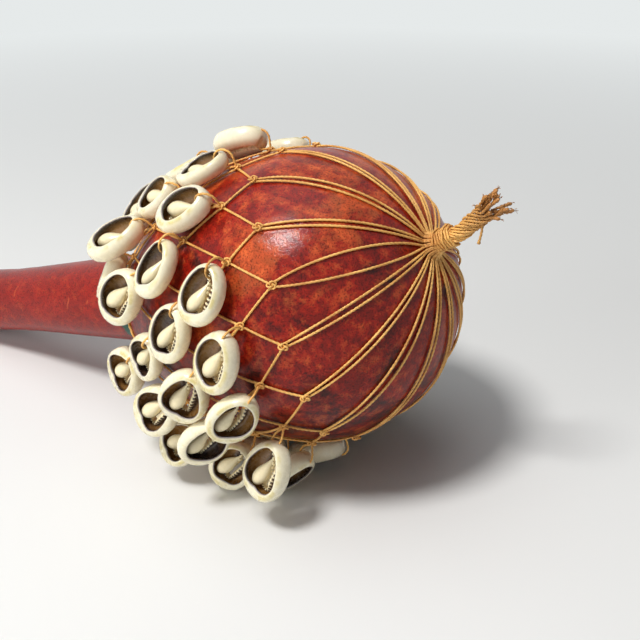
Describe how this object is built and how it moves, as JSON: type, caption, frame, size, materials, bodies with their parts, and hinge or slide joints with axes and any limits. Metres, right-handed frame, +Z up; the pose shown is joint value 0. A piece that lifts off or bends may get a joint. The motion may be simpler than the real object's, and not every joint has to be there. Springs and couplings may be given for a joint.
{
  "type": "shekere",
  "caption": "Gourd rattle with a long neck for a handle, in a knotted cord net hung with cut cowrie shells that swing against the gourd, and a corded tail at its base.",
  "frame": {"origin": "middle of the footprint, on the surface that it lies on", "axes": "+Z up, +X towards the gourd's base, so the neck runs down towards -X"},
  "size_m": [0.2853, 0.1304, 0.127],
  "materials": {
    "gourd": "varnished stain",
    "cord": "waxed twisted cord",
    "cowrie": "polished shell"
  },
  "bodies": {
    "gourd": {"gourd": "gourd"},
    "net": {"net": "cord", "gather_binding": "cord"},
    "tail": {"tail": "cord"},
    "cowrie_a_01": {"cowrie_a_01": "cowrie"},
    "cowrie_a_02": {"cowrie_a_02": "cowrie"},
    "cowrie_a_03": {"cowrie_a_03": "cowrie"},
    "cowrie_a_04": {"cowrie_a_04": "cowrie"},
    "cowrie_a_05": {"cowrie_a_05": "cowrie"},
    "cowrie_a_06": {"cowrie_a_06": "cowrie"},
    "cowrie_a_07": {"cowrie_a_07": "cowrie"},
    "cowrie_a_08": {"cowrie_a_08": "cowrie"},
    "cowrie_a_09": {"cowrie_a_09": "cowrie"},
    "cowrie_a_10": {"cowrie_a_10": "cowrie"},
    "cowrie_a_11": {"cowrie_a_11": "cowrie"},
    "cowrie_a_12": {"cowrie_a_12": "cowrie"},
    "cowrie_a_13": {"cowrie_a_13": "cowrie"},
    "cowrie_a_14": {"cowrie_a_14": "cowrie"},
    "cowrie_a_15": {"cowrie_a_15": "cowrie"},
    "cowrie_a_16": {"cowrie_a_16": "cowrie"},
    "cowrie_b_01": {"cowrie_b_01": "cowrie"},
    "cowrie_b_02": {"cowrie_b_02": "cowrie"},
    "cowrie_b_03": {"cowrie_b_03": "cowrie"},
    "cowrie_b_04": {"cowrie_b_04": "cowrie"},
    "cowrie_b_05": {"cowrie_b_05": "cowrie"},
    "cowrie_b_06": {"cowrie_b_06": "cowrie"},
    "cowrie_b_07": {"cowrie_b_07": "cowrie"},
    "cowrie_b_08": {"cowrie_b_08": "cowrie"},
    "cowrie_b_09": {"cowrie_b_09": "cowrie"},
    "cowrie_b_10": {"cowrie_b_10": "cowrie"},
    "cowrie_b_11": {"cowrie_b_11": "cowrie"},
    "cowrie_b_12": {"cowrie_b_12": "cowrie"},
    "cowrie_b_13": {"cowrie_b_13": "cowrie"},
    "cowrie_b_14": {"cowrie_b_14": "cowrie"},
    "cowrie_b_15": {"cowrie_b_15": "cowrie"},
    "cowrie_b_16": {"cowrie_b_16": "cowrie"},
    "cowrie_c_01": {"cowrie_c_01": "cowrie"},
    "cowrie_c_02": {"cowrie_c_02": "cowrie"},
    "cowrie_c_03": {"cowrie_c_03": "cowrie"},
    "cowrie_c_04": {"cowrie_c_04": "cowrie"},
    "cowrie_c_05": {"cowrie_c_05": "cowrie"},
    "cowrie_c_06": {"cowrie_c_06": "cowrie"},
    "cowrie_c_07": {"cowrie_c_07": "cowrie"},
    "cowrie_c_08": {"cowrie_c_08": "cowrie"},
    "cowrie_c_09": {"cowrie_c_09": "cowrie"},
    "cowrie_c_10": {"cowrie_c_10": "cowrie"},
    "cowrie_c_11": {"cowrie_c_11": "cowrie"},
    "cowrie_c_12": {"cowrie_c_12": "cowrie"},
    "cowrie_c_13": {"cowrie_c_13": "cowrie"},
    "cowrie_c_14": {"cowrie_c_14": "cowrie"},
    "cowrie_c_15": {"cowrie_c_15": "cowrie"},
    "cowrie_c_16": {"cowrie_c_16": "cowrie"},
    "cowrie_d_01": {"cowrie_d_01": "cowrie"},
    "cowrie_d_03": {"cowrie_d_03": "cowrie"},
    "cowrie_d_05": {"cowrie_d_05": "cowrie"},
    "cowrie_d_07": {"cowrie_d_07": "cowrie"},
    "cowrie_d_09": {"cowrie_d_09": "cowrie"},
    "cowrie_d_11": {"cowrie_d_11": "cowrie"},
    "cowrie_d_13": {"cowrie_d_13": "cowrie"},
    "cowrie_d_15": {"cowrie_d_15": "cowrie"}
  },
  "joints": [
    {"name": "net_turn", "type": "hinge", "parent": "gourd", "child": "net", "pos_m": [0.06905, 0.00027, 0.06962], "axis": [0.9685, 0, 0.2489], "range_deg": [-12, 12]},
    {"name": "tail_bend", "type": "hinge", "parent": "net", "child": "tail", "pos_m": [0.12553, 0.00027, 0.10548], "axis": [0, -1, 0], "range_deg": [-20, 20]},
    {"name": "cowrie_a_01_swing", "type": "hinge", "parent": "net", "child": "cowrie_a_01", "pos_m": [0.04015, -0.01545, 0.1216], "axis": [-0.2948, 0.9433, 0.1524], "range_deg": [0, 40]},
    {"name": "cowrie_a_02_swing", "type": "hinge", "parent": "net", "child": "cowrie_a_02", "pos_m": [0.04804, -0.03639, 0.11347], "axis": [-0.3154, 0.7912, 0.524], "range_deg": [0, 40]},
    {"name": "cowrie_a_03_swing", "type": "hinge", "parent": "net", "child": "cowrie_a_03", "pos_m": [0.06334, -0.05288, 0.09805], "axis": [-0.966, 0.1948, 0.1702], "range_deg": [0, 40]},
    {"name": "cowrie_a_04_swing", "type": "hinge", "parent": "net", "child": "cowrie_a_04", "pos_m": [0.07289, -0.05951, 0.07841], "axis": [-0.8697, 0.0167, 0.4933], "range_deg": [0, 40]},
    {"name": "cowrie_a_05_swing", "type": "hinge", "parent": "net", "child": "cowrie_a_05", "pos_m": [0.07974, -0.05782, 0.05633], "axis": [-0.76, -0.2746, 0.589], "range_deg": [-19.7, 20.3]},
    {"name": "cowrie_a_06_swing", "type": "hinge", "parent": "net", "child": "cowrie_a_06", "pos_m": [0.08275, -0.04758, 0.03516], "axis": [-0.5878, -0.5769, 0.5672], "range_deg": [-40, 0]},
    {"name": "cowrie_a_07_swing", "type": "hinge", "parent": "net", "child": "cowrie_a_07", "pos_m": [0.08365, -0.03008, 0.01932], "axis": [-0.3537, -0.8428, 0.4057], "range_deg": [-40, 0]},
    {"name": "cowrie_a_08_swing", "type": "hinge", "parent": "net", "child": "cowrie_a_08", "pos_m": [0.08551, -0.00854, 0.01204], "axis": [-0.0068, -0.9888, 0.1492], "range_deg": [-11, 29]},
    {"name": "cowrie_a_09_swing", "type": "hinge", "parent": "net", "child": "cowrie_a_09", "pos_m": [0.08508, 0.01501, 0.01314], "axis": [0.1182, -0.9685, -0.2192], "range_deg": [-13, 27]},
    {"name": "cowrie_a_10_swing", "type": "hinge", "parent": "net", "child": "cowrie_a_10", "pos_m": [0.08136, 0.0357, 0.02211], "axis": [0.4341, -0.7724, -0.4636], "range_deg": [-40, 0]},
    {"name": "cowrie_a_11_swing", "type": "hinge", "parent": "net", "child": "cowrie_a_11", "pos_m": [0.07674, 0.051, 0.0375], "axis": [0.8576, -0.3616, -0.3658], "range_deg": [-36.7, 3.3]},
    {"name": "cowrie_a_12_swing", "type": "hinge", "parent": "net", "child": "cowrie_a_12", "pos_m": [0.07032, 0.05975, 0.05845], "axis": [0.8979, -0.0997, -0.4289], "range_deg": [-12.7, 27.3]},
    {"name": "cowrie_a_13_swing", "type": "hinge", "parent": "net", "child": "cowrie_a_13", "pos_m": [0.06238, 0.05948, 0.08055], "axis": [0.9167, 0.1579, -0.367], "range_deg": [0, 40]},
    {"name": "cowrie_a_14_swing", "type": "hinge", "parent": "net", "child": "cowrie_a_14", "pos_m": [0.0535, 0.05048, 0.10013], "axis": [0.9415, 0.312, -0.1274], "range_deg": [0, 40]},
    {"name": "cowrie_a_15_swing", "type": "hinge", "parent": "net", "child": "cowrie_a_15", "pos_m": [0.04354, 0.03168, 0.11565], "axis": [0.2748, 0.8512, -0.4471], "range_deg": [0, 40]},
    {"name": "cowrie_a_16_swing", "type": "hinge", "parent": "net", "child": "cowrie_a_16", "pos_m": [0.03958, 0.00928, 0.12289], "axis": [0.1258, 0.9861, -0.1089], "range_deg": [0, 40]},
    {"name": "cowrie_b_01_swing", "type": "hinge", "parent": "net", "child": "cowrie_b_01", "pos_m": [0.02156, -0.00314, 0.11492], "axis": [-0.113, 0.9936, -0.0019], "range_deg": [0, 40]},
    {"name": "cowrie_b_02_swing", "type": "hinge", "parent": "net", "child": "cowrie_b_02", "pos_m": [0.0236, -0.02479, 0.10963], "axis": [-0.1482, 0.8991, 0.412], "range_deg": [0, 40]},
    {"name": "cowrie_b_03_swing", "type": "hinge", "parent": "net", "child": "cowrie_b_03", "pos_m": [0.03846, -0.046, 0.09896], "axis": [-0.9038, 0.4239, 0.0594], "range_deg": [0, 40]},
    {"name": "cowrie_b_04_swing", "type": "hinge", "parent": "net", "child": "cowrie_b_04", "pos_m": [0.05079, -0.05719, 0.08173], "axis": [-0.9117, 0.2592, 0.3187], "range_deg": [0, 40]},
    {"name": "cowrie_b_05_swing", "type": "hinge", "parent": "net", "child": "cowrie_b_05", "pos_m": [0.05809, -0.05922, 0.05979], "axis": [-0.8948, 0.015, 0.4462], "range_deg": [-9.8, 30.2]},
    {"name": "cowrie_b_06_swing", "type": "hinge", "parent": "net", "child": "cowrie_b_06", "pos_m": [0.06348, -0.05247, 0.03893], "axis": [-0.72, -0.3359, 0.6072], "range_deg": [-37.6, 2.4]},
    {"name": "cowrie_b_07_swing", "type": "hinge", "parent": "net", "child": "cowrie_b_07", "pos_m": [0.06287, -0.03796, 0.02127], "axis": [-0.4233, -0.7065, 0.5672], "range_deg": [-40, 0]},
    {"name": "cowrie_b_08_swing", "type": "hinge", "parent": "net", "child": "cowrie_b_08", "pos_m": [0.06473, -0.0188, 0.0107], "axis": [-0.1405, -0.9415, 0.3063], "range_deg": [-11, 29]},
    {"name": "cowrie_b_09_swing", "type": "hinge", "parent": "net", "child": "cowrie_b_09", "pos_m": [0.06605, 0.00344, 0.00779], "axis": [-0.0328, -0.9979, -0.0556], "range_deg": [-5, 35]},
    {"name": "cowrie_b_10_swing", "type": "hinge", "parent": "net", "child": "cowrie_b_10", "pos_m": [0.06441, 0.02385, 0.0124], "axis": [0.5183, -0.7984, -0.3066], "range_deg": [0, 40]},
    {"name": "cowrie_b_11_swing", "type": "hinge", "parent": "net", "child": "cowrie_b_11", "pos_m": [0.0605, 0.04147, 0.02375], "axis": [0.8968, -0.3298, -0.2948], "range_deg": [-40, 0]},
    {"name": "cowrie_b_12_swing", "type": "hinge", "parent": "net", "child": "cowrie_b_12", "pos_m": [0.05465, 0.05432, 0.04186], "axis": [0.8519, -0.1609, -0.4984], "range_deg": [-28, 12]},
    {"name": "cowrie_b_13_swing", "type": "hinge", "parent": "net", "child": "cowrie_b_13", "pos_m": [0.04838, 0.05899, 0.06299], "axis": [0.9117, 0.1325, -0.389], "range_deg": [-5, 35]},
    {"name": "cowrie_b_14_swing", "type": "hinge", "parent": "net", "child": "cowrie_b_14", "pos_m": [0.03943, 0.05441, 0.08377], "axis": [0.8746, 0.3773, -0.3045], "range_deg": [0, 40]},
    {"name": "cowrie_b_15_swing", "type": "hinge", "parent": "net", "child": "cowrie_b_15", "pos_m": [0.03066, 0.04149, 0.10068], "axis": [0.8512, 0.5232, -0.0398], "range_deg": [0, 40]},
    {"name": "cowrie_b_16_swing", "type": "hinge", "parent": "net", "child": "cowrie_b_16", "pos_m": [0.02283, 0.01974, 0.11188], "axis": [0.1219, 0.9409, -0.316], "range_deg": [0, 40]},
    {"name": "cowrie_c_01_swing", "type": "hinge", "parent": "net", "child": "cowrie_c_01", "pos_m": [0.00584, -0.01257, 0.10195], "axis": [-0.1752, 0.9723, 0.1548], "range_deg": [0, 40]},
    {"name": "cowrie_c_02_swing", "type": "hinge", "parent": "net", "child": "cowrie_c_02", "pos_m": [0.01305, -0.03256, 0.09592], "axis": [-0.5424, 0.7962, 0.2681], "range_deg": [0, 40]},
    {"name": "cowrie_c_03_swing", "type": "hinge", "parent": "net", "child": "cowrie_c_03", "pos_m": [0.02519, -0.04838, 0.08381], "axis": [-0.695, 0.5387, 0.4763], "range_deg": [0, 40]},
    {"name": "cowrie_c_04_swing", "type": "hinge", "parent": "net", "child": "cowrie_c_04", "pos_m": [0.03564, -0.05576, 0.06495], "axis": [-0.8241, 0.2441, 0.5111], "range_deg": [-0.3, 39.7]},
    {"name": "cowrie_c_05_swing", "type": "hinge", "parent": "net", "child": "cowrie_c_05", "pos_m": [0.04215, -0.05331, 0.0443], "axis": [-0.8123, -0.0629, 0.5799], "range_deg": [-27.2, 12.8]},
    {"name": "cowrie_c_06_swing", "type": "hinge", "parent": "net", "child": "cowrie_c_06", "pos_m": [0.04403, -0.04256, 0.02637], "axis": [-0.5934, -0.4775, 0.6479], "range_deg": [-40, 0]},
    {"name": "cowrie_c_07_swing", "type": "hinge", "parent": "net", "child": "cowrie_c_07", "pos_m": [0.04448, -0.02653, 0.01381], "axis": [-0.2789, -0.8361, 0.4725], "range_deg": [-26, 14]},
    {"name": "cowrie_c_08_swing", "type": "hinge", "parent": "net", "child": "cowrie_c_08", "pos_m": [0.04614, -0.00752, 0.00758], "axis": [0.0179, -0.9909, 0.1331], "range_deg": [-13, 27]},
    {"name": "cowrie_c_09_swing", "type": "hinge", "parent": "net", "child": "cowrie_c_09", "pos_m": [0.04556, 0.01282, 0.00847], "axis": [0.215, -0.9491, -0.2304], "range_deg": [0, 40]},
    {"name": "cowrie_c_10_swing", "type": "hinge", "parent": "net", "child": "cowrie_c_10", "pos_m": [0.04259, 0.03098, 0.01628], "axis": [0.5079, -0.6904, -0.5152], "range_deg": [-28, 12]},
    {"name": "cowrie_c_11_swing", "type": "hinge", "parent": "net", "child": "cowrie_c_11", "pos_m": [0.03811, 0.04486, 0.02979], "axis": [0.7822, -0.25, -0.5707], "range_deg": [-40, 0]},
    {"name": "cowrie_c_12_swing", "type": "hinge", "parent": "net", "child": "cowrie_c_12", "pos_m": [0.03253, 0.05294, 0.04816], "axis": [0.7907, 0.0555, -0.6096], "range_deg": [-19.6, 20.4]},
    {"name": "cowrie_c_13_swing", "type": "hinge", "parent": "net", "child": "cowrie_c_13", "pos_m": [0.02558, 0.05283, 0.06752], "axis": [0.8521, 0.3792, -0.3607], "range_deg": [0, 40]},
    {"name": "cowrie_c_14_swing", "type": "hinge", "parent": "net", "child": "cowrie_c_14", "pos_m": [0.01646, 0.04358, 0.08495], "axis": [0.6924, 0.6333, -0.3457], "range_deg": [0, 40]},
    {"name": "cowrie_c_15_swing", "type": "hinge", "parent": "net", "child": "cowrie_c_15", "pos_m": [0.01004, 0.02875, 0.09707], "axis": [0.6996, 0.7083, 0.0946], "range_deg": [0, 40]},
    {"name": "cowrie_c_16_swing", "type": "hinge", "parent": "net", "child": "cowrie_c_16", "pos_m": [0.00549, 0.00766, 0.10302], "axis": [0.0776, 0.9908, -0.1107], "range_deg": [0, 40]},
    {"name": "cowrie_d_01_swing", "type": "hinge", "parent": "net", "child": "cowrie_d_01", "pos_m": [-0.00883, -0.00177, 0.08787], "axis": [-0.0311, 0.9992, 0.0267], "range_deg": [0, 40]},
    {"name": "cowrie_d_03_swing", "type": "hinge", "parent": "net", "child": "cowrie_d_03", "pos_m": [0.00275, -0.03399, 0.08151], "axis": [-0.5065, 0.7592, 0.4088], "range_deg": [0, 40]},
    {"name": "cowrie_d_05_swing", "type": "hinge", "parent": "net", "child": "cowrie_d_05", "pos_m": [0.02031, -0.04872, 0.05057], "axis": [-0.8006, 0.2273, 0.5544], "range_deg": [-17.1, 22.9]},
    {"name": "cowrie_d_07_swing", "type": "hinge", "parent": "net", "child": "cowrie_d_07", "pos_m": [0.02347, -0.0297, 0.02039], "axis": [-0.5288, -0.5728, 0.6263], "range_deg": [-40, 0]},
    {"name": "cowrie_d_09_swing", "type": "hinge", "parent": "net", "child": "cowrie_d_09", "pos_m": [0.02588, 0.00284, 0.01011], "axis": [-0.0382, -0.9985, -0.0383], "range_deg": [-34, 6]},
    {"name": "cowrie_d_11_swing", "type": "hinge", "parent": "net", "child": "cowrie_d_11", "pos_m": [0.02016, 0.03289, 0.02389], "axis": [0.5482, -0.478, -0.6864], "range_deg": [-40, 0]},
    {"name": "cowrie_d_13_swing", "type": "hinge", "parent": "net", "child": "cowrie_d_13", "pos_m": [0.01106, 0.04529, 0.05412], "axis": [0.7221, 0.3382, -0.6035], "range_deg": [-11.9, 28.1]},
    {"name": "cowrie_d_15_swing", "type": "hinge", "parent": "net", "child": "cowrie_d_15", "pos_m": [-0.00328, 0.02818, 0.0807], "axis": [0.4436, 0.8362, -0.3225], "range_deg": [0, 40]}
  ]
}
